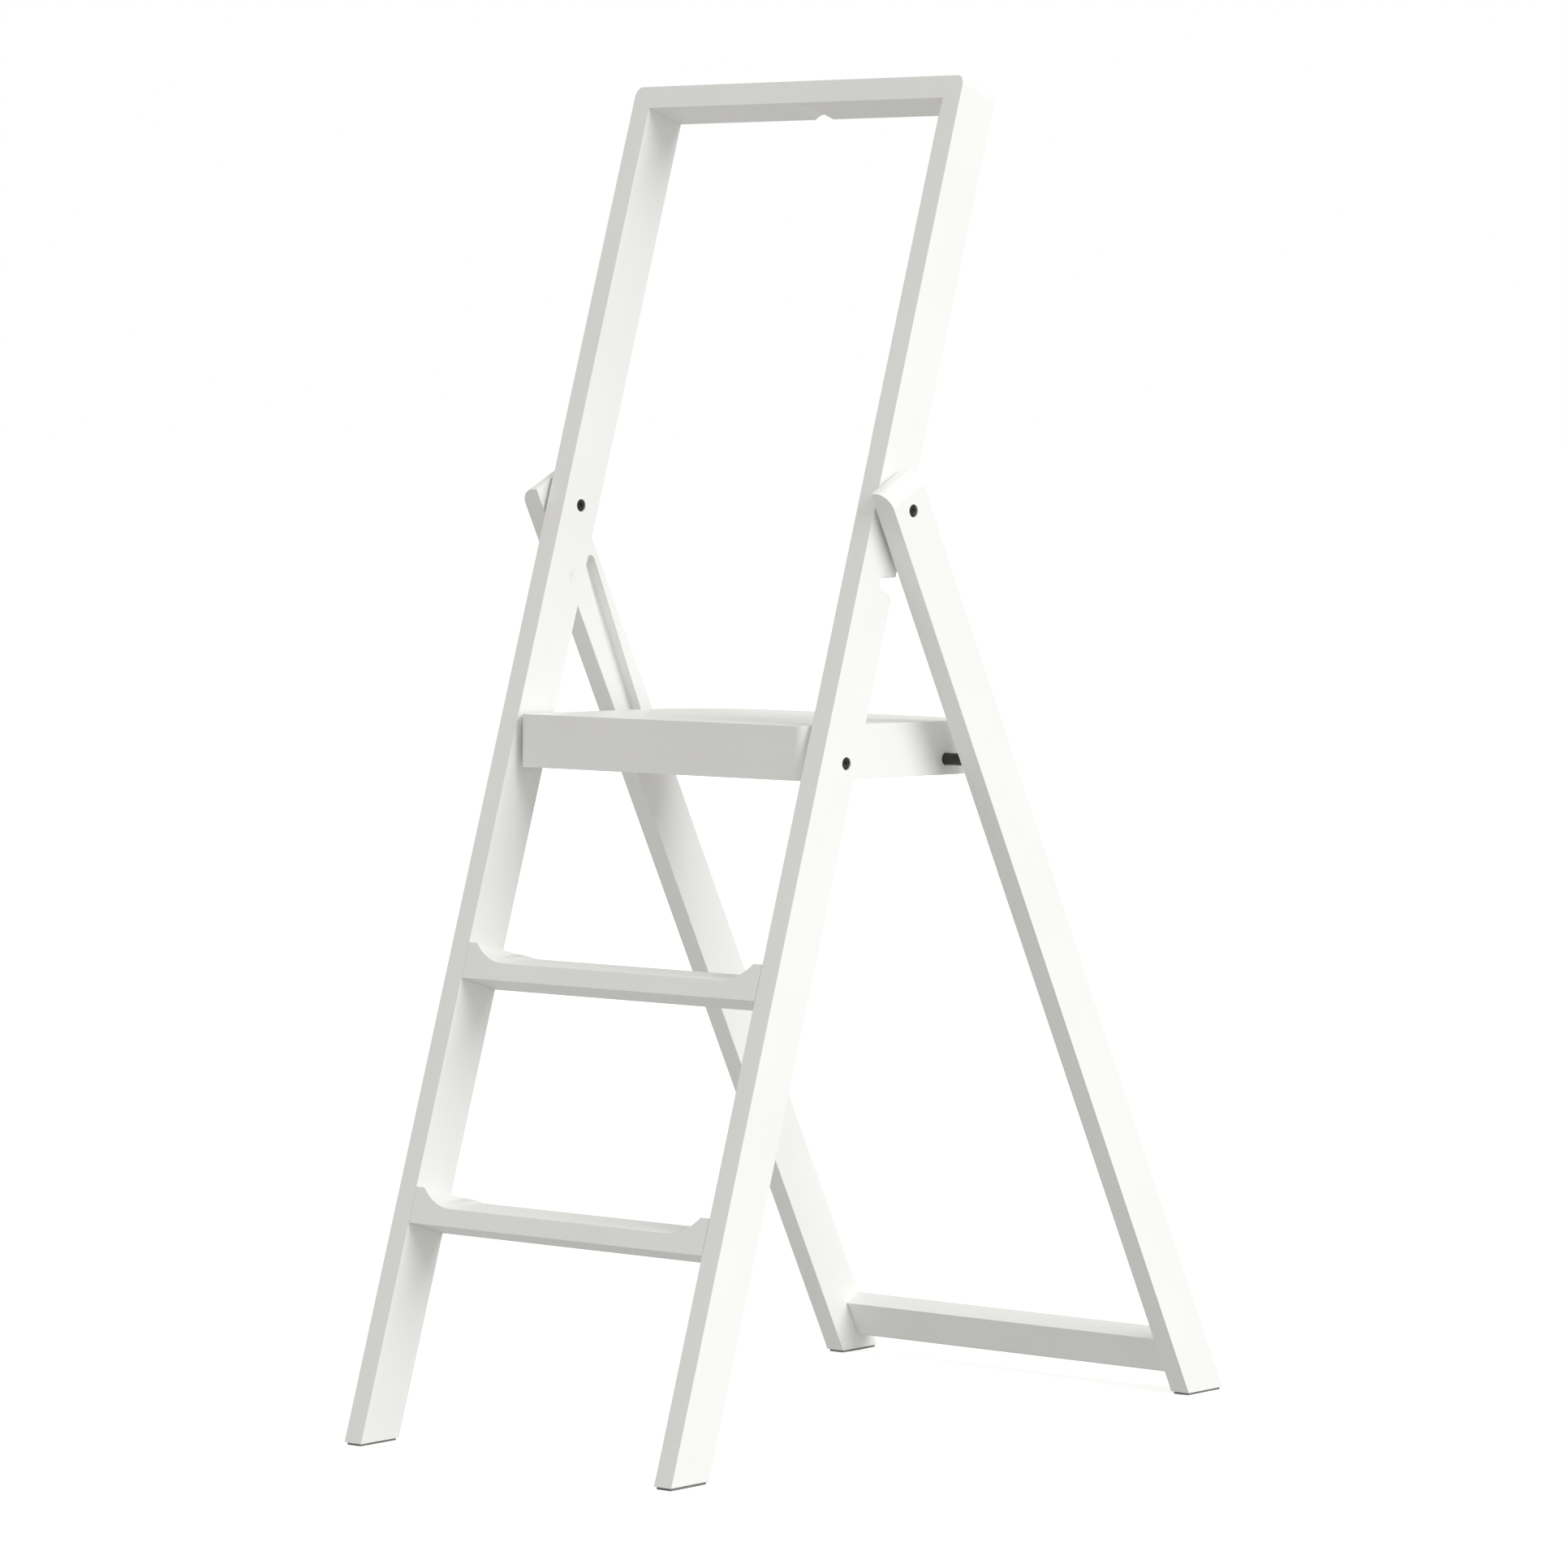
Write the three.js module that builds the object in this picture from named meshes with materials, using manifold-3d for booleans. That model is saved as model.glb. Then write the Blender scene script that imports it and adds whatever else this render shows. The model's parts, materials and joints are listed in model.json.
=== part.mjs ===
// A folding wooden step stool: a leaning front frame with a grab handle and two treads,
// a rear frame that folds against it, and a D-shaped platform that swings up between the stiles.
// Millimetres. X is left to right, Y is front to rear, Z is up, and the floor is Z = 0.

import * as THREE from 'three';
import { mergeVertices } from 'three/addons/utils/BufferGeometryUtils.js';
import Module from 'manifold-3d';

const wasm = await Module();
wasm.setup();

// ---------------------------------------------------------------- driving dimensions

const GAP = 0.3;                       // between faces that touch
const LEAN = THREE.MathUtils.degToRad(18.4);       // front frame, back from vertical
const SPREAD = THREE.MathUtils.degToRad(26.4);     // rear legs, out from vertical
const SLOPE = THREE.MathUtils.degToRad(1.4);       // platform, down to the rear

const WIDTH = 430;                     // over the stiles
const TIMBER = 22.5;                   // thickness of stiles, handle and legs
const DEPTH = 50;                      // depth of stiles, handle and legs
const FRAME_LENGTH = 1394;             // stile length along its front face
const HANDLE_CORNER_R = 9;

const TREAD_ALONG = [223.5, 470];      // underside of each tread, measured along the stile
const TREAD_BOARD = 36;                // board height at its raised ends
const TREAD_STEP = 17.5;               // height of the milled step at its front edge
const TREAD_FLAT_HALF = 141;           // half-width of the level part of the step
const TREAD_COVE_R = 55;

const LEG_PIVOT = { across: DEPTH / 2, along: 962 };
const PLATFORM_PIVOT = { across: 34.5, along: 713 };
const LEG_SPACER = 4.5;                // room between stile and leg
const LEG_TOP = 31;                    // leg end above its pivot
const LEG_SHOULDER_R = 17;             // rounding of the leg's end towards its outer face

const PLATFORM_SIDE_GAP = 3.5;         // room between platform and stile
const PLATFORM_ABOVE = 35.5;           // platform top above its pivot
const PLATFORM_BELOW = 17;
const PLATFORM_FRONT = -30.5;          // front edge, from the pivot
const PLATFORM_REAR = 256;             // rearmost point of the rounded back, from the pivot
const PLATFORM_STRAIGHT = 170;         // where the straight sides end
const PLATFORM_CORNER_R = 13;
const PLATFORM_ROUNDNESS = 3.4;        // exponent of the superellipse at the back
const RIM = 22;                        // width of the platform's rim
const DECK = 12;                       // thickness of the inset deck, and its distance from the edge
const RIB = { thick: 16, high: 20, at: [62, 136] };

const ROD_R = 6;
const ROD_FROM_PIVOT = 178.5;
const ROD_BELOW_PIVOT = 1.5;
const NOTCH_R = ROD_R + 0.6;
const NOTCH_LIP_R = 8;
const NOTCH_FLARE = 4.4;               // how much the notch opens upwards at its mouth
const GROOVE = { r: ROD_R + 1, footR: 13, depth: 12.5 };     // widens towards its foot, where the open rod rests

const BAR = { front: 3, high: 42.5, top: -953.2, edgeR: 6 };    // rear crossbar, in the leg's own axes
const ROD_END_GAP = 0.5;               // rod end to the leg's inner face

const DOWEL = { r: 4, length: 30 };
const CORNER_DOWEL = { r: 3, length: 20 };
const DOWEL_ACROSS = [14, 36];
const BOLT = { r: 3, headR: 6, headLength: 3.5, recess: 5, socketR: 2.9, socketDepth: 2 };
const SLEEVE_R = 4.5;
const SPACER_R = 11;
const WASHER_R = 8;
const INSERT = { r: 5, length: 14.7 };
const HANG = { r: 15, deep: 5.5, length: 38 };     // groove under the handle, to hang the stool on a peg
const GLIDE = 2.2;                     // foot glide thickness
const GLIDE_INSET = 2;

// ---------------------------------------------------------------- worked-out sizes

const OUTER = WIDTH / 2;
const INNER = OUTER - TIMBER;
const LEG_INNER = OUTER + LEG_SPACER;
const LEG_OUTER = LEG_INNER + TIMBER;
const PLATFORM_HALF = INNER - PLATFORM_SIDE_GAP;
const FOOT_Z = GLIDE + GAP;

const framePoint = ({ across, along }) => ({
  y: across * Math.cos(LEAN) + along * Math.sin(LEAN),
  z: along * Math.cos(LEAN) - across * Math.sin(LEAN),
});
const LEG_AXIS = framePoint(LEG_PIVOT);
const PLATFORM_AXIS = framePoint(PLATFORM_PIVOT);

const FRONT_TOE = FOOT_Z * Math.tan(LEAN);
const REAR_HEEL = LEG_AXIS.y + (LEG_AXIS.z - FOOT_Z) * Math.tan(SPREAD) + DEPTH / 2 / Math.cos(SPREAD);
const CENTRE_Y = (FRONT_TOE + REAR_HEEL) / 2;
const BAR_BOTTOM = BAR.top - BAR.high;

// Folded, the platform and the legs lie along the stiles, and the rod sits in the stiles' notches.
const NOTCH = {
  across: PLATFORM_PIVOT.across + ROD_BELOW_PIVOT,
  along: PLATFORM_PIVOT.along + ROD_FROM_PIVOT,
};

// The rod's centre in the leg's own axes, with the stool folded and with it open.
const ROD_FOLDED = { y: NOTCH.across - LEG_PIVOT.across, z: NOTCH.along - LEG_PIVOT.along };
const ROD_OPEN = (() => {
  const rod = turn(ROD_FROM_PIVOT, -ROD_BELOW_PIVOT, -SLOPE);
  return turn(PLATFORM_AXIS.y + rod.y - LEG_AXIS.y, PLATFORM_AXIS.z + rod.z - LEG_AXIS.z, -SPREAD);
})();

function turn(y, z, angle) {
  return {
    y: y * Math.cos(angle) - z * Math.sin(angle),
    z: y * Math.sin(angle) + z * Math.cos(angle),
  };
}

// ---------------------------------------------------------------- materials

function finish(colour, roughness, metalness = 0) {
  return new THREE.MeshStandardMaterial({ color: colour, roughness, metalness });
}
const lacquer = () => finish(0xf1f0ec, 0.4);
const beech = () => finish(0xd9b98a, 0.6);
const darkSteel = () => finish(0x1c1c1d, 0.35, 0.9);
const nylon = () => finish(0xd8d8d6, 0.5);
const rubber = () => finish(0x3a3a3b, 0.8);

// ---------------------------------------------------------------- solids

function toSolid(geometry) {
  geometry.deleteAttribute('normal');
  geometry.deleteAttribute('uv');
  const merged = mergeVertices(geometry, 1e-4);
  return new wasm.Manifold(new wasm.Mesh({
    numProp: 3,
    vertProperties: new Float32Array(merged.attributes.position.array),
    triVerts: new Uint32Array(merged.index.array),
  }));
}

function toGeometry(solid) {
  const mesh = solid.getMesh();
  const geometry = new THREE.BufferGeometry();
  geometry.setAttribute('position', new THREE.BufferAttribute(mesh.vertProperties, 3));
  geometry.setIndex(new THREE.BufferAttribute(mesh.triVerts, 1));
  const faceted = geometry.toNonIndexed();
  faceted.computeVertexNormals();
  return faceted;
}

function prism(shape, length, matrix) {
  const geometry = new THREE.ExtrudeGeometry(shape, { depth: length, bevelEnabled: false, curveSegments: 12 });
  return toSolid(geometry.applyMatrix4(matrix));
}

// A (y, z) outline run from x = a to x = b.
function alongX(shape, a, b) {
  const matrix = new THREE.Matrix4().makeBasis(
    new THREE.Vector3(0, 1, 0), new THREE.Vector3(0, 0, 1), new THREE.Vector3(1, 0, 0));
  matrix.setPosition(Math.min(a, b), 0, 0);
  return prism(shape, Math.abs(b - a), matrix);
}

// An (x, z) outline run from y = a to y = b, where b is the larger.
function alongY(shape, a, b) {
  const matrix = new THREE.Matrix4().makeBasis(
    new THREE.Vector3(1, 0, 0), new THREE.Vector3(0, 0, 1), new THREE.Vector3(0, -1, 0));
  matrix.setPosition(0, b, 0);
  return prism(shape, b - a, matrix);
}

// An (x, y) outline run from z = a to z = b.
function alongZ(shape, a, b) {
  return prism(shape, b - a, new THREE.Matrix4().makeTranslation(0, 0, a));
}

// A round bar of radius r and the given length, centred at (x, y, z), along a unit direction.
function bar(r, length, [x, y, z], direction = [1, 0, 0], segments = 32) {
  const geometry = new THREE.CylinderGeometry(r, r, length, segments);
  const turned = new THREE.Quaternion().setFromUnitVectors(
    new THREE.Vector3(0, 1, 0), new THREE.Vector3(...direction));
  const matrix = new THREE.Matrix4().compose(
    new THREE.Vector3(x, y, z), turned, new THREE.Vector3(1, 1, 1));
  return toSolid(geometry.applyMatrix4(matrix));
}

// The same bar given by where it starts and ends along X.
function barX(r, a, b, y, z, segments = 32) {
  return bar(r, Math.abs(b - a), [(a + b) / 2, y, z], [1, 0, 0], segments);
}

function polygon(points) {
  return new THREE.Shape(points.map(([u, v]) => new THREE.Vector2(u, v)));
}

function box(x0, x1, y0, y1, z0, z1) {
  return alongZ(polygon([[x0, y0], [x1, y0], [x1, y1], [x0, y1]]), z0, z1);
}

function add(parent, name, solid, material) {
  const mesh = new THREE.Mesh(toGeometry(solid), material);
  mesh.name = name;
  parent.add(mesh);
  return mesh;
}

const SIDES = [['left', -1], ['right', 1]];

// ---------------------------------------------------------------- front frame
// Its own axes are x, y across the stile from its front face, and z along the stile from the floor.

function footHeight(across) {
  return (FOOT_Z + across * Math.sin(LEAN)) / Math.cos(LEAN);
}

// Side outline of a stile, with its level foot and the notch that the platform rod drops into.
function stileOutline() {
  const lipTop = NOTCH.along - NOTCH_R;
  const shape = new THREE.Shape();
  shape.moveTo(0, footHeight(0));
  shape.lineTo(DEPTH, footHeight(DEPTH));
  shape.lineTo(DEPTH, lipTop - NOTCH_LIP_R);
  shape.absarc(DEPTH - NOTCH_LIP_R, lipTop - NOTCH_LIP_R, NOTCH_LIP_R, 0, Math.PI / 2, false);
  shape.absarc(NOTCH.across, NOTCH.along, NOTCH_R, -Math.PI / 2, -Math.PI * 1.5, true);
  shape.lineTo(DEPTH, NOTCH.along + NOTCH_R + NOTCH_FLARE);
  shape.lineTo(DEPTH, FRAME_LENGTH);
  shape.lineTo(0, FRAME_LENGTH);
  return shape;
}

// Front outline of a stile, ending in a mitre that is rounded at its outer corner.
function stileFront(side) {
  const length = FRAME_LENGTH - GAP * Math.SQRT2;
  const shape = new THREE.Shape();
  shape.moveTo(side * INNER, 0);
  shape.lineTo(side * INNER, length - TIMBER);
  const start = side > 0 ? Math.PI / 4 : Math.PI * 0.75;
  const end = side > 0 ? 0 : Math.PI;
  shape.absarc(side * (OUTER - HANDLE_CORNER_R), length - HANDLE_CORNER_R, HANDLE_CORNER_R, start, end, side > 0);
  shape.lineTo(side * OUTER, 0);
  return shape;
}

// Centre and direction of a dowel that crosses the mitre square to it.
function cornerDowel(side, across) {
  return {
    centre: [side * (OUTER - TIMBER / 2), across, FRAME_LENGTH - TIMBER / 2],
    direction: [side * Math.SQRT1_2, 0, -Math.SQRT1_2],
  };
}

function cornerDowelHoles(side) {
  return DOWEL_ACROSS.map((across) => {
    const { centre, direction } = cornerDowel(side, across);
    return bar(CORNER_DOWEL.r + GAP, CORNER_DOWEL.length + 2 * GAP, centre, direction, 24);
  });
}

function treadDowelHoles(side) {
  const holes = [];
  for (const along of TREAD_ALONG) {
    for (const across of DOWEL_ACROSS) {
      const reach = DOWEL.length / 2 + GAP;
      holes.push(barX(DOWEL.r + GAP, side * (INNER - reach), side * (INNER + reach), across,
        along + TREAD_BOARD / 2, 24));
    }
  }
  return holes;
}

function cutAll(solid, cutters) {
  return cutters.reduce((rest, cutter) => rest.subtract(cutter), solid);
}

function stile(side) {
  const blank = alongX(stileOutline(), side * INNER, side * OUTER)
    .intersect(alongY(stileFront(side), -1, DEPTH + 1));
  const leg = LEG_PIVOT;
  const platform = PLATFORM_PIVOT;
  return cutAll(blank, [
    ...treadDowelHoles(side),
    ...cornerDowelHoles(side),
    barX(SLEEVE_R + GAP, side * (INNER - 1), side * (OUTER + 1), leg.across, leg.along),
    barX(BOLT.headR + GAP, side * (INNER - 1), side * (INNER + BOLT.recess), leg.across, leg.along),
    barX(BOLT.r + GAP, side * (INNER - 1), side * (OUTER + 1), platform.across, platform.along),
    barX(BOLT.headR + GAP, side * (OUTER - BOLT.recess), side * (OUTER + 1), platform.across, platform.along),
  ]);
}

// What is taken out of the handle's underside: a round-bottomed groove, open to the rear, with a round front end.
function hangingGroove() {
  const above = HANG.r - HANG.deep;
  const start = DEPTH - HANG.length + Math.sqrt(HANG.r ** 2 - above ** 2);
  const height = FRAME_LENGTH - TIMBER - above;
  const length = DEPTH + 1 - start;
  const end = toSolid(new THREE.SphereGeometry(HANG.r, 32, 16).translate(0, start, height));
  return bar(HANG.r, length, [0, start + length / 2, height], [0, 1, 0]).add(end);
}

// The handle joins the stiles in mitres.
function handleBar() {
  const shape = new THREE.Shape();
  shape.moveTo(-INNER, FRAME_LENGTH - TIMBER);
  shape.lineTo(INNER, FRAME_LENGTH - TIMBER);
  shape.absarc(OUTER - HANDLE_CORNER_R, FRAME_LENGTH - HANDLE_CORNER_R, HANDLE_CORNER_R, Math.PI / 4, Math.PI / 2);
  shape.absarc(HANDLE_CORNER_R - OUTER, FRAME_LENGTH - HANDLE_CORNER_R, HANDLE_CORNER_R, Math.PI / 2, Math.PI * 0.75);
  return cutAll(alongY(shape, 0, DEPTH), [...cornerDowelHoles(-1), ...cornerDowelHoles(1), hangingGroove()]);
}

// What the moulder takes off a tread: a level step with a cove up to each raised end.
function stepCutter(along) {
  const top = TREAD_BOARD;
  const rise = Math.acos((TREAD_COVE_R - top) / TREAD_COVE_R);
  const floor = -Math.PI / 2;
  const shape = new THREE.Shape();
  shape.absarc(TREAD_FLAT_HALF, TREAD_COVE_R, TREAD_COVE_R, floor, floor + rise);
  shape.absarc(-TREAD_FLAT_HALF, TREAD_COVE_R, TREAD_COVE_R, floor - rise, floor);
  const reach = 2 * DEPTH;
  return alongY(shape, -DEPTH, reach)
    .rotate([THREE.MathUtils.radToDeg(LEAN), 0, 0])
    .translate([0, 0, along + TREAD_STEP]);
}

function tread(along) {
  const half = INNER - GAP;
  const board = box(-half, half, 0, DEPTH, along, along + TREAD_BOARD);
  return cutAll(board, [stepCutter(along), ...treadDowelHoles(-1), ...treadDowelHoles(1)]);
}

// A glide under one foot: the foot's level section, a little smaller all round.
function glide(xa, xb, y0, y1) {
  const x0 = Math.min(xa, xb) + GLIDE_INSET;
  const x1 = Math.max(xa, xb) - GLIDE_INSET;
  return box(x0, x1, y0 + GLIDE_INSET, y1 - GLIDE_INSET, 0, GLIDE);
}

function buildFrontFrame(root) {
  const frame = new THREE.Group();
  frame.rotation.x = -LEAN;
  root.add(frame);
  for (const [name, side] of SIDES) {
    add(frame, `${name}_stile`, stile(side), lacquer());
    add(root, `${name}_front_glide`,
      glide(side * INNER, side * OUTER, FRONT_TOE, FRONT_TOE + DEPTH / Math.cos(LEAN)), rubber());
    buildLegPivot(frame, name, side);
    DOWEL_ACROSS.forEach((across, row) => {
      const place = ['front', 'rear'][row];
      const { centre, direction } = cornerDowel(side, across);
      add(frame, `handle_dowel_${name}_${place}`,
        bar(CORNER_DOWEL.r, CORNER_DOWEL.length, centre, direction, 24), beech());
      TREAD_ALONG.forEach((along, level) => {
        const reach = DOWEL.length / 2;
        add(frame, `${['lower', 'upper'][level]}_tread_dowel_${name}_${place}`,
          barX(DOWEL.r, side * (INNER - reach), side * (INNER + reach), across, along + TREAD_BOARD / 2, 24),
          beech());
      });
    });
  }
  add(frame, 'handle_bar', handleBar(), lacquer());
  add(frame, 'lower_tread', tread(TREAD_ALONG[0]), lacquer());
  add(frame, 'upper_tread', tread(TREAD_ALONG[1]), lacquer());
}

// ---------------------------------------------------------------- pivots

// A bolt with a hexagon socket, its head towards the outside, on an axis at (y, z).
function socketBolt(side, headFace, end, y, z) {
  const underHead = headFace - BOLT.headLength;
  const head = barX(BOLT.headR, side * underHead, side * headFace, y, z);
  const shank = barX(BOLT.r, side * end, side * (underHead + 1), y, z);
  const socket = barX(BOLT.socketR, side * (headFace - BOLT.socketDepth), side * (headFace + 1), y, z, 6);
  return head.add(shank).subtract(socket);
}

// A sleeve nut with a hexagon socket, its head on the inside of the stile.
function sleeveNut(side, y, z) {
  const headFace = INNER + BOLT.recess - GAP - BOLT.headLength;
  const underHead = headFace + BOLT.headLength;
  const head = barX(BOLT.headR, side * headFace, side * underHead, y, z);
  const sleeve = barX(SLEEVE_R, side * (underHead - 1), side * (OUTER - GAP), y, z);
  const bore = barX(BOLT.r + GAP, side * underHead, side * (OUTER + 1), y, z);
  const socket = barX(BOLT.socketR, side * (headFace - 1), side * (headFace + BOLT.socketDepth), y, z, 6);
  return head.add(sleeve).subtract(bore).subtract(socket);
}

function ring(outerR, boreR, side, a, b, y, z) {
  const middle = (a + b) / 2;
  const over = Math.abs(b - a);
  return barX(outerR, side * a, side * b, y, z)
    .subtract(barX(boreR, side * (middle - over), side * (middle + over), y, z));
}

// The bolt, sleeve nut and spacer that a rear leg turns on.
function buildLegPivot(frame, name, side) {
  const { across, along } = LEG_PIVOT;
  const headFace = LEG_OUTER - BOLT.recess + GAP + BOLT.headLength;
  const boltEnd = INNER + BOLT.recess + GAP;
  add(frame, `${name}_leg_bolt`, socketBolt(side, headFace, boltEnd, across, along), darkSteel());
  add(frame, `${name}_leg_sleeve_nut`, sleeveNut(side, across, along), darkSteel());
  add(frame, `${name}_leg_spacer`,
    ring(SPACER_R, BOLT.r + GAP, side, OUTER + GAP, LEG_INNER - GAP, across, along), nylon());
}

// ---------------------------------------------------------------- rear frame
// Its own axes are x, y across the leg, and z up along the leg from its pivot.

function legFoot(across) {
  return (FOOT_Z - LEG_AXIS.z - across * Math.sin(SPREAD)) / Math.cos(SPREAD);
}

function legSide() {
  const front = -DEPTH / 2;
  const rear = DEPTH / 2;
  return polygon([[front, legFoot(front)], [rear, legFoot(rear)], [rear, LEG_TOP], [front, LEG_TOP]]);
}

// Front outline of a leg, its end rounded off towards the outside.
function legFront(side) {
  const shape = new THREE.Shape();
  shape.moveTo(side * LEG_INNER, legFoot(DEPTH / 2));
  shape.lineTo(side * LEG_INNER, LEG_TOP);
  shape.absarc(side * (LEG_OUTER - LEG_SHOULDER_R), LEG_TOP - LEG_SHOULDER_R, LEG_SHOULDER_R,
    Math.PI / 2, side > 0 ? 0 : Math.PI, side > 0);
  shape.lineTo(side * LEG_OUTER, legFoot(DEPTH / 2));
  return shape;
}

// The slot in the leg's inner face, from where the rod is when folded down to where it is when open.
function groove(side) {
  const inside = side * (LEG_INNER - 1);
  const floor = side * (LEG_INNER + GROOVE.depth);
  return wasm.Manifold.hull([
    barX(GROOVE.r, inside, floor, ROD_FOLDED.y, ROD_FOLDED.z),
    barX(GROOVE.footR, inside, floor, ROD_OPEN.y + GROOVE.footR - GROOVE.r, ROD_OPEN.z),
  ]);
}

function barDowelHoles(side) {
  const reach = DOWEL.length / 2 + GAP;
  return barDowelHeights().map((z) => barX(DOWEL.r + GAP, side * (LEG_INNER - reach),
    side * (LEG_INNER + reach), (BAR.front + DEPTH / 2) / 2, z, 24));
}

function barDowelHeights() {
  return [BAR.top - BAR.high / 4, BAR.top - BAR.high * 0.75];
}

function rearLeg(side) {
  const blank = alongX(legSide(), side * LEG_INNER, side * LEG_OUTER)
    .intersect(alongY(legFront(side), -DEPTH, DEPTH));
  return cutAll(blank, [
    groove(side),
    barX(BOLT.r + GAP, side * (LEG_INNER - 1), side * (LEG_OUTER + 1), 0, 0),
    barX(BOLT.headR + GAP, side * (LEG_OUTER - BOLT.recess), side * (LEG_OUTER + 1), 0, 0),
    ...barDowelHoles(side),
  ]);
}

function rearCrossbar() {
  const rear = DEPTH / 2;
  const shape = new THREE.Shape();
  shape.moveTo(BAR.front, BAR.top);
  shape.lineTo(BAR.front, BAR_BOTTOM + BAR.edgeR);
  shape.absarc(BAR.front + BAR.edgeR, BAR_BOTTOM + BAR.edgeR, BAR.edgeR, Math.PI, Math.PI * 1.5);
  shape.lineTo(rear, BAR_BOTTOM);
  shape.lineTo(rear, BAR.top);
  const half = LEG_INNER - GAP;
  return cutAll(alongX(shape, -half, half), [...barDowelHoles(-1), ...barDowelHoles(1)]);
}

function buildRearFrame(root) {
  const frame = new THREE.Group();
  frame.position.set(0, LEG_AXIS.y, LEG_AXIS.z);
  frame.rotation.x = SPREAD;
  root.add(frame);
  for (const [name, side] of SIDES) {
    add(frame, `${name}_rear_leg`, rearLeg(side), lacquer());
    add(root, `${name}_rear_glide`,
      glide(side * LEG_INNER, side * LEG_OUTER, REAR_HEEL - DEPTH / Math.cos(SPREAD), REAR_HEEL), rubber());
    barDowelHeights().forEach((z, row) => {
      const reach = DOWEL.length / 2;
      add(frame, `crossbar_dowel_${name}_${['upper', 'lower'][row]}`,
        barX(DOWEL.r, side * (LEG_INNER - reach), side * (LEG_INNER + reach), (BAR.front + DEPTH / 2) / 2, z, 24),
        beech());
    });
  }
  add(frame, 'rear_crossbar', rearCrossbar(), lacquer());
}

// ---------------------------------------------------------------- platform
// Its own axes are x, y rearwards and z up, all from the pivot.

// Half-width of the platform outline, moved in by the inset, at y on its rounded back.
function halfWidthAt(y, inset) {
  const part = (y - PLATFORM_STRAIGHT) / (PLATFORM_REAR - inset - PLATFORM_STRAIGHT);
  return (PLATFORM_HALF - inset) * (1 - Math.max(part, 0) ** PLATFORM_ROUNDNESS) ** (1 / PLATFORM_ROUNDNESS);
}

// The D outline, moved in by the inset: straight front and sides, rounded back.
function platformOutline(inset) {
  const half = PLATFORM_HALF - inset;
  const front = PLATFORM_FRONT + inset;
  const corner = Math.max(PLATFORM_CORNER_R - inset, 3);
  const length = PLATFORM_REAR - inset - PLATFORM_STRAIGHT;
  const power = 2 / PLATFORM_ROUNDNESS;
  const shape = new THREE.Shape();
  shape.absarc(half - corner, front + corner, corner, -Math.PI / 2, 0);
  const steps = 48;
  for (let i = 0; i <= steps; i += 1) {
    const angle = (Math.PI * i) / steps;
    const cosine = Math.cos(angle);
    const x = half * Math.sign(cosine) * Math.abs(cosine) ** power;
    shape.lineTo(x, PLATFORM_STRAIGHT + length * Math.sin(angle) ** power);
  }
  shape.absarc(corner - half, front + corner, corner, Math.PI, Math.PI * 1.5);
  return shape;
}

function insertBore(side) {
  const depth = INSERT.length + 2 * GAP;
  return barX(INSERT.r + GAP, side * (PLATFORM_HALF - depth), side * (PLATFORM_HALF + 1), 0, 0);
}

function platformRim() {
  const disc = alongZ(platformOutline(0), -PLATFORM_BELOW, PLATFORM_ABOVE);
  const hollow = alongZ(platformOutline(RIM), -PLATFORM_BELOW - 1, PLATFORM_ABOVE + 1);
  const rebate = alongZ(platformOutline(DECK), PLATFORM_ABOVE - DECK, PLATFORM_ABOVE + 1);
  const rodBore = barX(ROD_R + GAP, -OUTER, OUTER, ROD_FROM_PIVOT, -ROD_BELOW_PIVOT);
  return cutAll(disc, [hollow, rebate, rodBore, insertBore(-1), insertBore(1)]);
}

function platformRib(at) {
  const half = halfWidthAt(at + RIB.thick / 2, RIM) - GAP;
  const top = PLATFORM_ABOVE - DECK;
  return box(-half, half, at - RIB.thick / 2, at + RIB.thick / 2, top - RIB.high, top);
}

function buildPlatform(root) {
  const platform = new THREE.Group();
  platform.position.set(0, PLATFORM_AXIS.y, PLATFORM_AXIS.z);
  platform.rotation.x = -SLOPE;
  root.add(platform);
  add(platform, 'platform_rim', platformRim(), lacquer());
  add(platform, 'platform_deck',
    alongZ(platformOutline(DECK + GAP), PLATFORM_ABOVE - DECK + GAP, PLATFORM_ABOVE), lacquer());
  RIB.at.forEach((at, row) => {
    add(platform, `platform_rib_${['front', 'rear'][row]}`, platformRib(at), lacquer());
  });
  const rodHalf = LEG_INNER - ROD_END_GAP;
  add(platform, 'platform_rod', barX(ROD_R, -rodHalf, rodHalf, ROD_FROM_PIVOT, -ROD_BELOW_PIVOT), darkSteel());
  for (const [name, side] of SIDES) {
    buildPlatformPivot(platform, name, side);
  }
}

// The bolt that a platform side turns on, the threaded insert it screws into, and its washer.
function buildPlatformPivot(platform, name, side) {
  const headFace = OUTER - BOLT.recess + GAP + BOLT.headLength;
  const innerEnd = PLATFORM_HALF - GAP - INSERT.length;
  add(platform, `${name}_platform_bolt`, socketBolt(side, headFace, innerEnd + 1, 0, 0), darkSteel());
  add(platform, `${name}_platform_insert`,
    ring(INSERT.r, BOLT.r + GAP, side, innerEnd, PLATFORM_HALF - GAP, 0, 0), darkSteel());
  add(platform, `${name}_platform_washer`,
    ring(WASHER_R, BOLT.r + GAP, side, PLATFORM_HALF + GAP, INNER - GAP, 0, 0), nylon());
}

// ---------------------------------------------------------------- assembly

const stepStool = new THREE.Group();
const standing = new THREE.Group();
standing.position.y = -CENTRE_Y;
stepStool.add(standing);
buildFrontFrame(standing);
buildRearFrame(standing);
buildPlatform(standing);

export default stepStool;
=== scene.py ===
"""Looks of the folding step stool: rounded and lacquered timber, blackened steel, nylon and rubber.

Metres and the row frame throughout. A piece is shaped from the CAD node that it stands for: its flat facets
are joined, its edges rounded and its finish added. Dowels and threaded inserts stay CAD nodes and only get a
finish. The floor, the light and the camera come last.
"""

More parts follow.
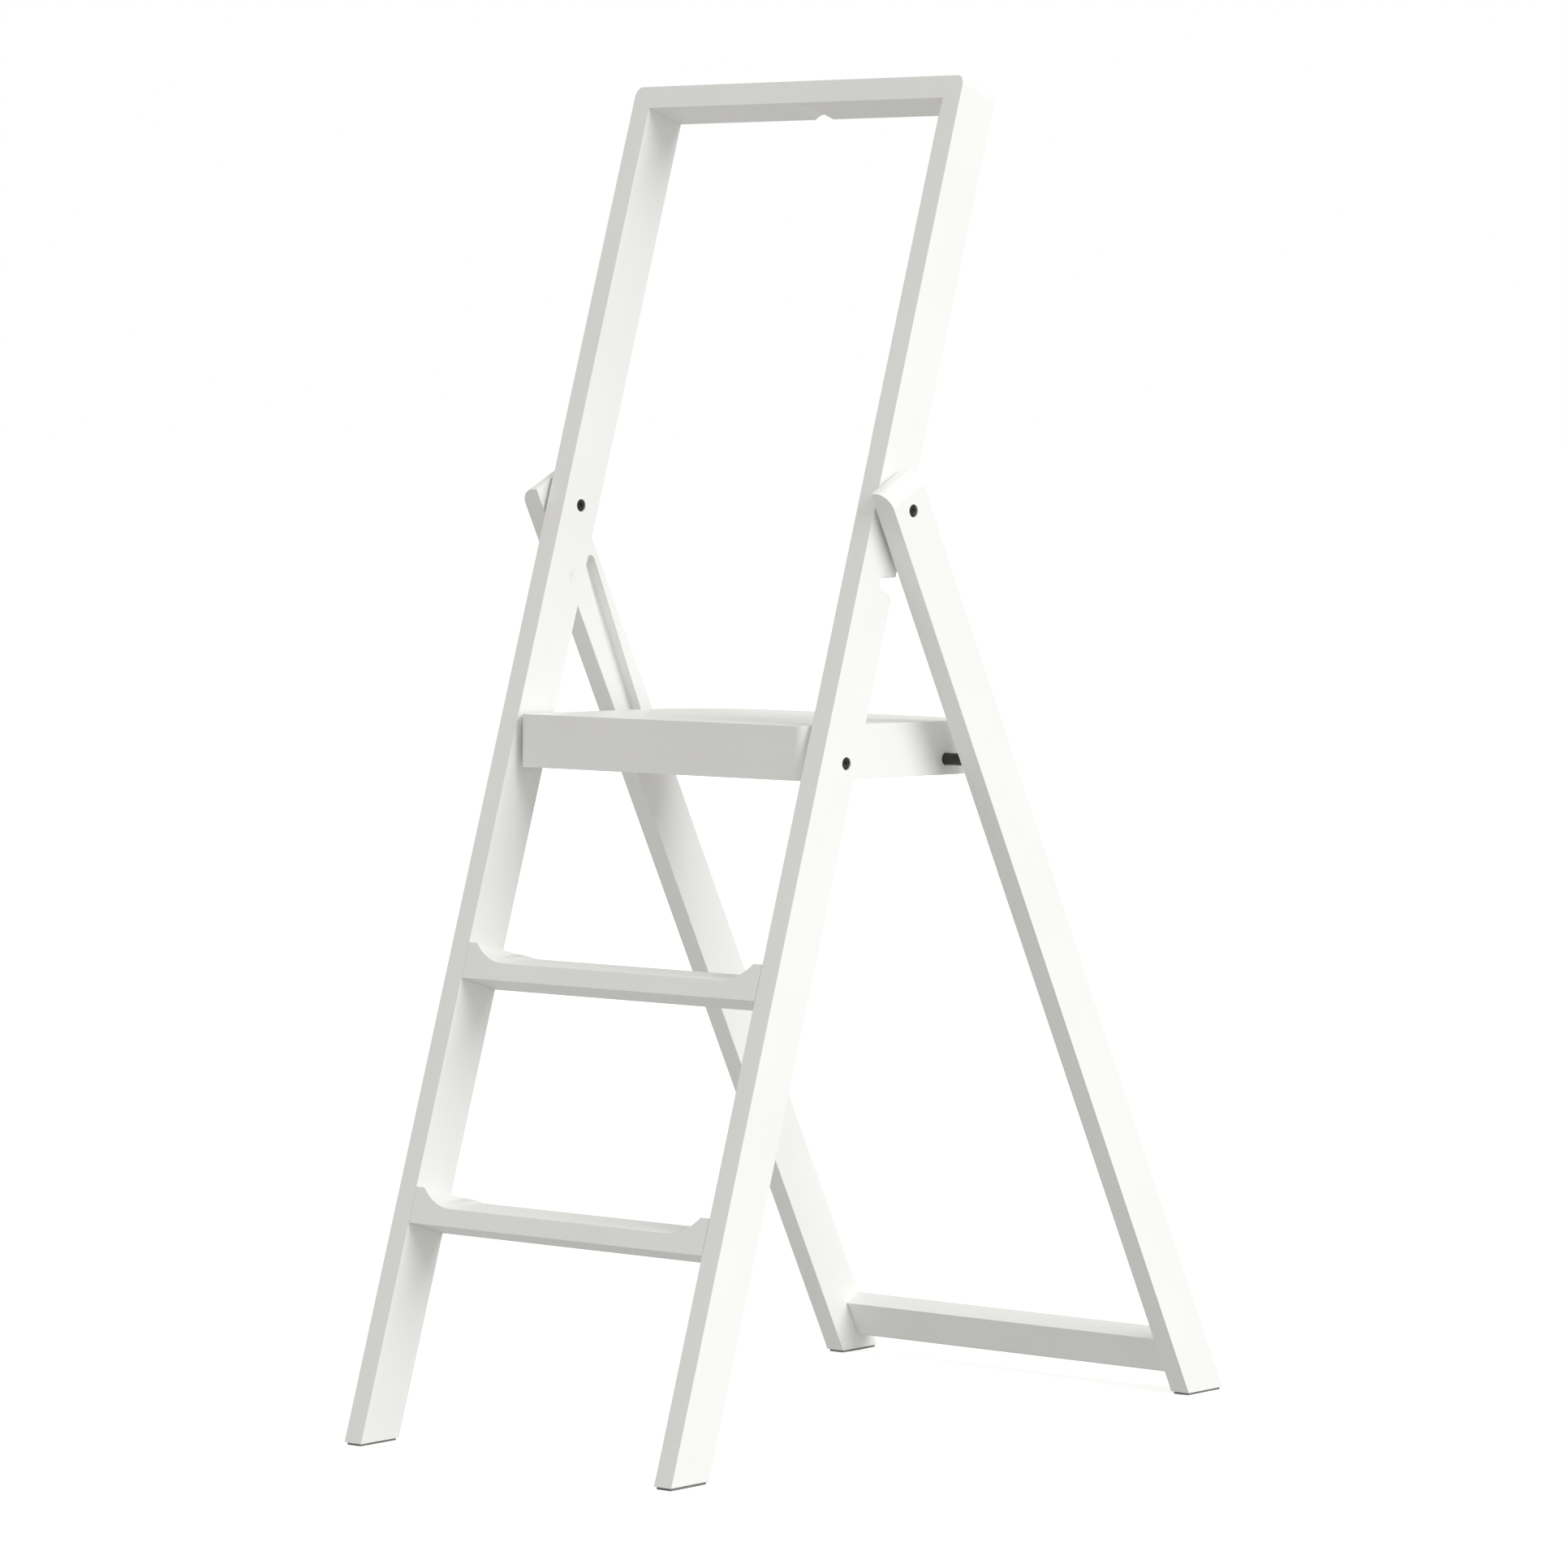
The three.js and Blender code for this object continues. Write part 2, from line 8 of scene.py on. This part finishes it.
import json
import math

import bmesh
import bpy
from mathutils import Euler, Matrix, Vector


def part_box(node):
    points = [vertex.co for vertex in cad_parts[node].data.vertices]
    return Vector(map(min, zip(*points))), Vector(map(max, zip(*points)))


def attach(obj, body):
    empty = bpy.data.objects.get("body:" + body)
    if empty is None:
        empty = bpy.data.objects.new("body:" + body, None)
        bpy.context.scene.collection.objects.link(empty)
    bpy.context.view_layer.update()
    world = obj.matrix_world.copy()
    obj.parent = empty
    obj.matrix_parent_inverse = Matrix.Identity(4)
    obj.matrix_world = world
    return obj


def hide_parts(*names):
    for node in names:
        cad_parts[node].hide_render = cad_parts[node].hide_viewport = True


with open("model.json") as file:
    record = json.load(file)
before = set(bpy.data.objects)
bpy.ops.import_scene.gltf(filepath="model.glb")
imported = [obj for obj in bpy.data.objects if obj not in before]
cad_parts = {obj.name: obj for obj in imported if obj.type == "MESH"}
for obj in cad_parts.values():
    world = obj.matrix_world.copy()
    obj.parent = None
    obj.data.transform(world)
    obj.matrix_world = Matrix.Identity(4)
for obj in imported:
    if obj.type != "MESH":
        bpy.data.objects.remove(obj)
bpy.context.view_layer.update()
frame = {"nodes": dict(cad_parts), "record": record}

# ---------------------------------------------------------------- sizes

MM = 0.001
WELD = 0.01 * MM
SAME_PLANE = math.radians(0.2)
CORNER = math.radians(30)              # an edge this sharp gets rounded
ON_PLANE = 0.05 * MM

TIMBER_ROUND = 1.6 * MM                # an upper limit: clamping leaves the boards with far less
PLATFORM_ROUND = 2.2 * MM              # an upper limit too: clamping leaves the rim with about 0.3 mm
RIB_ROUND = 1.0 * MM
STEEL_ROUND = 0.5 * MM
PLASTIC_ROUND = 0.4 * MM
ROUND_STEPS = 3
WALL_SPAN = 0.9                        # a bore or groove spans less than this part of a board's thickness
BORE_DEPTH = 20 * MM                   # more than the depth of a dowel bore
MITRE_GAP = 0.3 * MM                   # room that the CAD leaves at the mitre of a stile and the handle
ALONG_X = 0.01                         # a face whose normal has less X than this runs along X
SLANTING = 0.6                         # a mitre's normal has more than this, both of X and of rise

STILES = ("left_stile", "right_stile")
LEGS = ("left_rear_leg", "right_rear_leg")
TREADS = ("lower_tread", "upper_tread")
RIBS = ("platform_rib_front", "platform_rib_rear")

NODES = frame["nodes"]
RECORD = frame["record"]
SLOT_OF = {part["node"]: part["material_slot"] for part in RECORD["subparts"]}
BODY_OF = {node: body for body, nodes in RECORD["behaviour"]["bodies"].items() for node in nodes}


def slope(low, high):
    """Angle from vertical, in the Y-Z plane, of the line between two points."""
    return math.atan2(high.y - low.y, high.z - low.z)


def centre(name):
    low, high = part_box(name)
    return (low + high) / 2


LEAN = slope(centre("lower_tread"), centre("upper_tread"))
SPREAD = slope(centre("left_rear_leg"), centre("left_leg_bolt"))
ALONG_STILE = Vector((0, math.sin(LEAN), math.cos(LEAN)))
ACROSS = Vector((1, 0, 0))


# ---------------------------------------------------------------- shader helpers

def add_node(tree, kind, inputs=None, **settings):
    """A shader node; an input may be a value or another node's output."""
    node = tree.nodes.new(kind)
    for key, value in settings.items():
        setattr(node, key, value)
    for key, value in (inputs or {}).items():
        if isinstance(value, bpy.types.NodeSocket):
            tree.links.new(value, node.inputs[key])
        else:
            node.inputs[key].default_value = value
    return node


def noise(tree, vector, scale, detail=3, distortion=0):
    inputs = {"Vector": vector, "Scale": scale, "Detail": detail, "Distortion": distortion}
    return add_node(tree, "ShaderNodeTexNoise", inputs).outputs["Fac"]


def remap(tree, value, low, high, to_low, to_high):
    inputs = {"Value": value, "From Min": low, "From Max": high, "To Min": to_low, "To Max": to_high}
    return add_node(tree, "ShaderNodeMapRange", inputs).outputs["Result"]


def mix_colour(tree, factor, first, second):
    """Indices of the Mix node's colour sockets: 0 factor, 6 and 7 the colours, output 2."""
    return add_node(tree, "ShaderNodeMix", {0: factor, 6: first, 7: second}, data_type="RGBA").outputs[2]


def multiply(tree, first, second):
    return add_node(tree, "ShaderNodeMath", {0: first, 1: second}, operation="MULTIPLY").outputs[0]


def bump(tree, height, distance, strength=1.0, under=None):
    inputs = {"Height": height, "Distance": distance, "Strength": strength}
    if under is not None:
        inputs["Normal"] = under
    return add_node(tree, "ShaderNodeBump", inputs).outputs["Normal"]


def start_material(name, turn=(0, 0, 0), stretch=(1, 1, 1)):
    """A material, its tree and shader, plain object coordinates, and the same turned and stretched."""
    material = bpy.data.materials.new(name)
    material.use_nodes = True
    tree = material.node_tree
    place = add_node(tree, "ShaderNodeTexCoord").outputs["Object"]
    turned = add_node(tree, "ShaderNodeMapping", {"Vector": place, "Rotation": turn}).outputs["Vector"]
    grain = add_node(tree, "ShaderNodeMapping", {"Vector": turned, "Scale": stretch}).outputs["Vector"]
    return material, tree, tree.nodes["Principled BSDF"], place, grain


def edge_wear(tree, place, scale):
    """How worn a point is: only on rounded edges, and there in patches."""
    edge = add_node(tree, "ShaderNodeAttribute", attribute_name="edge").outputs["Fac"]
    patches = remap(tree, noise(tree, place, scale, 4), 0.45, 0.7, 0.15, 1)
    return multiply(tree, edge, patches)


# ---------------------------------------------------------------- materials

GRAIN_STRETCH = (5, 160, 160)          # noise cells per metre along and across the grain


def lacquer(name, turn):
    """Satin white lacquer on planed timber whose grain runs along X after the turn."""
    material, tree, shader, place, grain = start_material(name, turn, GRAIN_STRETCH)
    broad = noise(tree, place, 7, 2)
    fibres = noise(tree, grain, 1, 6, 0.6)
    peel = noise(tree, place, 650, 2)
    wear = edge_wear(tree, place, 45)
    tint = remap(tree, broad, 0.3, 0.7, 0, 1)
    white = mix_colour(tree, tint, (0.925, 0.925, 0.916, 1), (0.90, 0.899, 0.886, 1))
    streaks = remap(tree, fibres, 0.4, 0.75, 0, 0.22)
    white = mix_colour(tree, streaks, white, (0.87, 0.864, 0.842, 1))
    colour = mix_colour(tree, multiply(tree, wear, 0.45), white, (0.80, 0.785, 0.74, 1))
    rough = remap(tree, fibres, 0.3, 0.7, 0.38, 0.46)
    under = bump(tree, fibres, 0.12 * MM, 0.5)
    tree.links.new(colour, shader.inputs["Base Color"])
    tree.links.new(rough, shader.inputs["Roughness"])
    tree.links.new(bump(tree, peel, 0.02 * MM, 0.5, under), shader.inputs["Normal"])
    shader.inputs["Coat Weight"].default_value = 0.12
    shader.inputs["Coat Roughness"].default_value = 0.28
    return material


def beech():
    """Turned beech with short dark flecks along X."""
    material, tree, shader, _, grain = start_material("beech", stretch=(30, 500, 500))
    fibres = noise(tree, grain, 1, 5, 0.4)
    flecks = remap(tree, noise(tree, grain, 2.6, 2), 0.62, 0.7, 0, 0.7)
    base = mix_colour(tree, fibres, (0.64, 0.43, 0.25, 1), (0.83, 0.64, 0.43, 1))
    tree.links.new(mix_colour(tree, flecks, base, (0.36, 0.21, 0.11, 1)), shader.inputs["Base Color"])
    tree.links.new(remap(tree, fibres, 0.3, 0.7, 0.5, 0.7), shader.inputs["Roughness"])
    tree.links.new(bump(tree, fibres, 0.1 * MM, 0.6), shader.inputs["Normal"])
    return material


def dark_steel():
    """Blackened steel with turning marks, rubbed to bare metal on its edges."""
    material, tree, shader, place, grain = start_material("dark_steel", stretch=(2600, 60, 60))
    marks = noise(tree, grain, 1, 3)
    stains = noise(tree, place, 120, 3)
    wear = edge_wear(tree, place, 300)
    black = mix_colour(tree, stains, (0.035, 0.035, 0.036, 1), (0.09, 0.088, 0.084, 1))
    colour = mix_colour(tree, multiply(tree, wear, 0.7), black, (0.32, 0.31, 0.30, 1))
    tree.links.new(colour, shader.inputs["Base Color"])
    tree.links.new(remap(tree, marks, 0.3, 0.7, 0.26, 0.44), shader.inputs["Roughness"])
    tree.links.new(bump(tree, marks, 0.02 * MM, 0.5), shader.inputs["Normal"])
    shader.inputs["Metallic"].default_value = 0.85
    return material


def nylon():
    """Milky moulded nylon."""
    material, tree, shader, place, _ = start_material("nylon")
    cloud = noise(tree, place, 180, 3)
    grain = noise(tree, place, 2400, 2)
    tree.links.new(mix_colour(tree, cloud, (0.74, 0.74, 0.72, 1), (0.86, 0.86, 0.85, 1)),
                   shader.inputs["Base Color"])
    tree.links.new(remap(tree, cloud, 0.3, 0.7, 0.42, 0.58), shader.inputs["Roughness"])
    tree.links.new(bump(tree, grain, 0.02 * MM, 0.4), shader.inputs["Normal"])
    shader.inputs["Subsurface Weight"].default_value = 0.15
    shader.inputs["Subsurface Radius"].default_value = (2 * MM, 2 * MM, 2 * MM)
    return material


def glide_rubber():
    """Grey rubber, paler with dust where it rubs."""
    material, tree, shader, place, _ = start_material("glide_rubber")
    dust = noise(tree, place, 90, 5)
    pores = noise(tree, place, 1800, 2)
    wear = edge_wear(tree, place, 200)
    dusty = mix_colour(tree, remap(tree, dust, 0.45, 0.75, 0, 0.6),
                       (0.20, 0.20, 0.195, 1), (0.34, 0.335, 0.32, 1))
    tree.links.new(mix_colour(tree, wear, dusty, (0.45, 0.44, 0.42, 1)), shader.inputs["Base Color"])
    tree.links.new(remap(tree, dust, 0.3, 0.7, 0.7, 0.9), shader.inputs["Roughness"])
    tree.links.new(bump(tree, pores, 0.06 * MM, 0.6), shader.inputs["Normal"])
    return material


# The turn brings the length of a board onto X, after its lean is taken off.
LACQUER_ACROSS = lacquer("lacquer_across", (0, 0, 0))
LACQUER_STILE = lacquer("lacquer_stile", (LEAN, math.pi / 2, 0))
LACQUER_LEG = lacquer("lacquer_leg", (SPREAD, math.pi / 2, 0))
FINISH = {"beech": beech(), "dark_steel": dark_steel(), "nylon": nylon(), "glide_rubber": glide_rubber()}


def finish_of(name):
    if name in STILES:
        return LACQUER_STILE
    if name in LEGS:
        return LACQUER_LEG
    return FINISH.get(SLOT_OF[name], LACQUER_ACROSS)


# ---------------------------------------------------------------- shaping

def joined_faces(name):
    """The node's mesh with its flat facets joined into whole faces."""
    shape = bmesh.new()
    shape.from_mesh(NODES[name].data)
    bmesh.ops.remove_doubles(shape, verts=shape.verts, dist=WELD)
    bmesh.ops.dissolve_limit(shape, angle_limit=SAME_PLANE, verts=shape.verts, edges=shape.edges)
    shape.normal_update()
    return shape


def is_corner(edge):
    return len(edge.link_faces) == 2 and edge.calc_face_angle(0) > CORNER


def round_edges(shape, edges, radius):
    """Rounds the edges by the radius at most, and marks the points on the rounding in the layer "edge".

    Clamping keeps the rounding from overlapping itself, and leaves a piece with short facets much less of it.
    """
    layer = shape.verts.layers.float.new("edge")
    made = bmesh.ops.bevel(shape, geom=edges, offset=radius, offset_type="OFFSET", segments=ROUND_STEPS,
                           profile=0.5, affect="EDGES", clamp_overlap=True)
    rounding = set(made["faces"])
    for vert in shape.verts:
        vert[layer] = float(all(face in rounding for face in vert.link_faces))


def add_piece(shape, name):
    """Makes the shape a piece that stands for its CAD node and rides on the node's body."""
    for face in shape.faces:
        face.smooth = True
    for edge in shape.edges:
        edge.smooth = not is_corner(edge)
    mesh = bpy.data.meshes.new(f"{name}_mesh")
    shape.to_mesh(mesh)
    shape.free()
    piece = bpy.data.objects.new(f"{name}_piece", mesh)
    bpy.context.scene.collection.objects.link(piece)
    mesh.materials.append(finish_of(name))
    piece.modifiers.new("flat faces stay flat", "WEIGHTED_NORMAL").keep_sharp = True
    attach(piece, BODY_OF[name])
    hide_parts(name)
    return piece


def extent(points, axis):
    along = [point.dot(axis) for point in points]
    return max(along) - min(along)


def corner_points(face):
    return [vert.co for vert in face.verts]


def runs_along_x(face):
    return abs(face.normal.x) < ALONG_X


def is_mitre(face):
    """Whether a face is the slanting one in which a stile and the handle meet."""
    sideways = face.normal.x * face.verts[0].co.x
    rise = face.normal.dot(ALONG_STILE)
    return abs(face.normal.x) > SLANTING and abs(rise) > SLANTING and sideways * rise < 0


def make_board(name):
    """A stile or a leg: its outline's edges are rounded, and a stile's mitre closes up to the handle."""
    shape = joined_faces(name)
    thickness = extent([vert.co for vert in shape.verts], ACROSS)

    def is_outer(face):
        """Not the wall of a bore or of the groove, and not the mitre."""
        is_wall = runs_along_x(face) and extent(corner_points(face), ACROSS) < WALL_SPAN * thickness
        return not is_wall and not is_mitre(face)

    edges = [edge for edge in shape.edges
             if is_corner(edge) and all(is_outer(face) for face in edge.link_faces)]
    round_edges(shape, edges, TIMBER_ROUND)
    for vert in {vert for face in shape.faces if is_mitre(face) for vert in face.verts}:
        vert.co += ALONG_STILE * MITRE_GAP * math.sqrt(2)
    return add_piece(shape, name)


def make_crosspiece(name):
    """A tread or crossbar: its edges are rounded, but not where its ends butt on the uprights."""
    shape = joined_faces(name)
    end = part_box(name)[1].x

    def is_bore(face):
        return runs_along_x(face) and extent(corner_points(face), ACROSS) < BORE_DEPTH

    def at_joint(edge):
        near_end = all(abs(vert.co.x) > end - BORE_DEPTH for vert in edge.verts)
        on_end = all(abs(vert.co.x) > end - ON_PLANE for vert in edge.verts)
        return on_end or near_end and any(is_bore(face) for face in edge.link_faces)

    edges = [edge for edge in shape.edges if is_corner(edge) and not at_joint(edge)]
    round_edges(shape, edges, TIMBER_ROUND)
    return add_piece(shape, name)


def make_handle():
    """The handle: its long edges are rounded, but not its mitres or the groove under its middle."""
    shape = joined_faces("handle_bar")
    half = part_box("handle_bar")[1].x

    def is_long(edge):
        return any(abs(vert.co.x) > half / 2 for vert in edge.verts)

    edges = [edge for edge in shape.edges
             if is_corner(edge) and is_long(edge) and not any(is_mitre(face) for face in edge.link_faces)]
    round_edges(shape, edges, TIMBER_ROUND)
    return add_piece(shape, "handle_bar")


def make_rim():
    """The platform's rim: rounded outside edges above, and both edges below."""
    shape = joined_faces("platform_rim")
    tops = [mount for mount in RECORD["mounts"] if mount["name"] == "platform_top"]
    up = Vector(tops[0]["axis"])
    heights = [vert.co.dot(up) for vert in shape.verts]
    low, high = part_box("platform_rim")
    middle = (low + high) / 2

    def is_outer(edge):
        wall = min(edge.link_faces, key=lambda face: abs(face.normal.dot(up)))
        return wall.normal.dot(wall.verts[0].co - middle) > 0

    def is_rounded(edge):
        ends = [vert.co.dot(up) for vert in edge.verts]
        above = min(ends) > max(heights) - ON_PLANE and is_outer(edge)
        return above or max(ends) < min(heights) + ON_PLANE

    edges = [edge for edge in shape.edges if is_corner(edge) and is_rounded(edge)]
    round_edges(shape, edges, PLATFORM_ROUND)
    return add_piece(shape, "platform_rim")


def make_plain(name, radius):
    """A small piece with all its corners rounded."""
    shape = joined_faces(name)
    if radius:
        round_edges(shape, [edge for edge in shape.edges if is_corner(edge)], radius)
    return add_piece(shape, name)


for name in STILES + LEGS:
    make_board(name)
for name in TREADS + ("rear_crossbar",):
    make_crosspiece(name)
make_handle()
make_rim()
make_plain("platform_deck", 0)
for name in RIBS:
    make_plain(name, RIB_ROUND)
make_plain("platform_rod", STEEL_ROUND)
for side in ("left", "right"):
    for part in ("leg_bolt", "platform_bolt", "leg_sleeve_nut"):
        make_plain(f"{side}_{part}", STEEL_ROUND)
    for part in ("leg_spacer", "platform_washer", "front_glide", "rear_glide"):
        make_plain(f"{side}_{part}", PLASTIC_ROUND)
for name, node in NODES.items():
    if not node.hide_render:
        node.data.materials.clear()
        node.data.materials.append(finish_of(name))

# ---------------------------------------------------------------- floor, light and camera

FLOOR_HALF = 40
FLOOR_GLOW = 0.45                      # light of its own that keeps the floor as white as the background


def make_floor():
    mesh = bpy.data.meshes.new("floor")
    corners = [(-FLOOR_HALF, -FLOOR_HALF, 0), (FLOOR_HALF, -FLOOR_HALF, 0),
               (FLOOR_HALF, FLOOR_HALF, 0), (-FLOOR_HALF, FLOOR_HALF, 0)]
    mesh.from_pydata(corners, [], [(0, 1, 2, 3)])
    floor = bpy.data.objects.new("floor", mesh)
    bpy.context.scene.collection.objects.link(floor)
    material, tree, shader, place, _ = start_material("floor_paint")
    shade = noise(tree, place, 3, 3)
    white = mix_colour(tree, shade, (0.93, 0.93, 0.93, 1), (0.96, 0.96, 0.96, 1))
    tree.links.new(white, shader.inputs["Base Color"])
    shader.inputs["Roughness"].default_value = 0.9
    shader.inputs["Emission Color"].default_value = (1, 1, 1, 1)
    shader.inputs["Emission Strength"].default_value = FLOOR_GLOW
    mesh.materials.append(material)
    floor.visible_diffuse = False
    floor.visible_glossy = False


# How bright the surroundings are overhead, level and below, and their tint. The camera sees white instead.
SKY = 0.84
HORIZON = 0.49
GROUND = 0.65
WARMTH = (1, 0.992, 0.962)


def make_world():
    world = bpy.data.worlds.new("studio")
    bpy.context.scene.world = world
    world.use_nodes = True
    tree = world.node_tree
    direction = add_node(tree, "ShaderNodeTexCoord").outputs["Generated"]
    height = add_node(tree, "ShaderNodeSeparateXYZ", {"Vector": direction}).outputs["Z"]
    ramp = add_node(tree, "ShaderNodeValToRGB", {"Fac": remap(tree, height, -1, 1, 0, 1)})
    stops = ramp.color_ramp.elements
    bands = (stops[0], stops.new(0.5), stops[-1])
    for band, level in zip(bands, (GROUND, HORIZON, SKY)):
        band.color = [level * part for part in WARMTH] + [1]
    seen = add_node(tree, "ShaderNodeLightPath").outputs["Is Camera Ray"]
    colour = mix_colour(tree, seen, ramp.outputs["Color"], (1, 1, 1, 1))
    tree.links.new(colour, tree.nodes["Background"].inputs["Color"])


# The main light comes from a broad window on the right: where from, how strong, and how wide it looks.
KEY_FROM = (0.86, 0.05, 0.51)
KEY_STRENGTH = 1.8
KEY_ANGLE = math.radians(40)


def make_key_light():
    light = bpy.data.lights.new("key", "SUN")
    light.energy = KEY_STRENGTH
    light.angle = KEY_ANGLE
    lamp = bpy.data.objects.new("key", light)
    lamp.rotation_euler = Vector(KEY_FROM).to_track_quat("Z", "Y").to_euler()
    bpy.context.scene.collection.objects.link(lamp)


# Where the camera stands, how it is turned and tilted, and its lens on a 36 mm sensor.
CAMERA_AT = (4.4713, -5.0610, 1.0914)
CAMERA_YAW = 41.408
CAMERA_PITCH = -3.911
CAMERA_ROLL = -0.465
LENS = 157.05


def make_camera():
    data = bpy.data.cameras.new("camera")
    data.lens = LENS
    camera = bpy.data.objects.new("camera", data)
    camera.location = CAMERA_AT
    turned = Euler((math.radians(90 + CAMERA_PITCH), 0, math.radians(CAMERA_YAW))).to_matrix()
    rolled = Euler((0, 0, math.radians(CAMERA_ROLL))).to_matrix()
    camera.rotation_euler = (turned @ rolled).to_euler()
    bpy.context.scene.collection.objects.link(camera)
    bpy.context.scene.camera = camera


make_floor()
make_world()
make_key_light()
make_camera()
bpy.context.scene.view_settings.view_transform = "Standard"
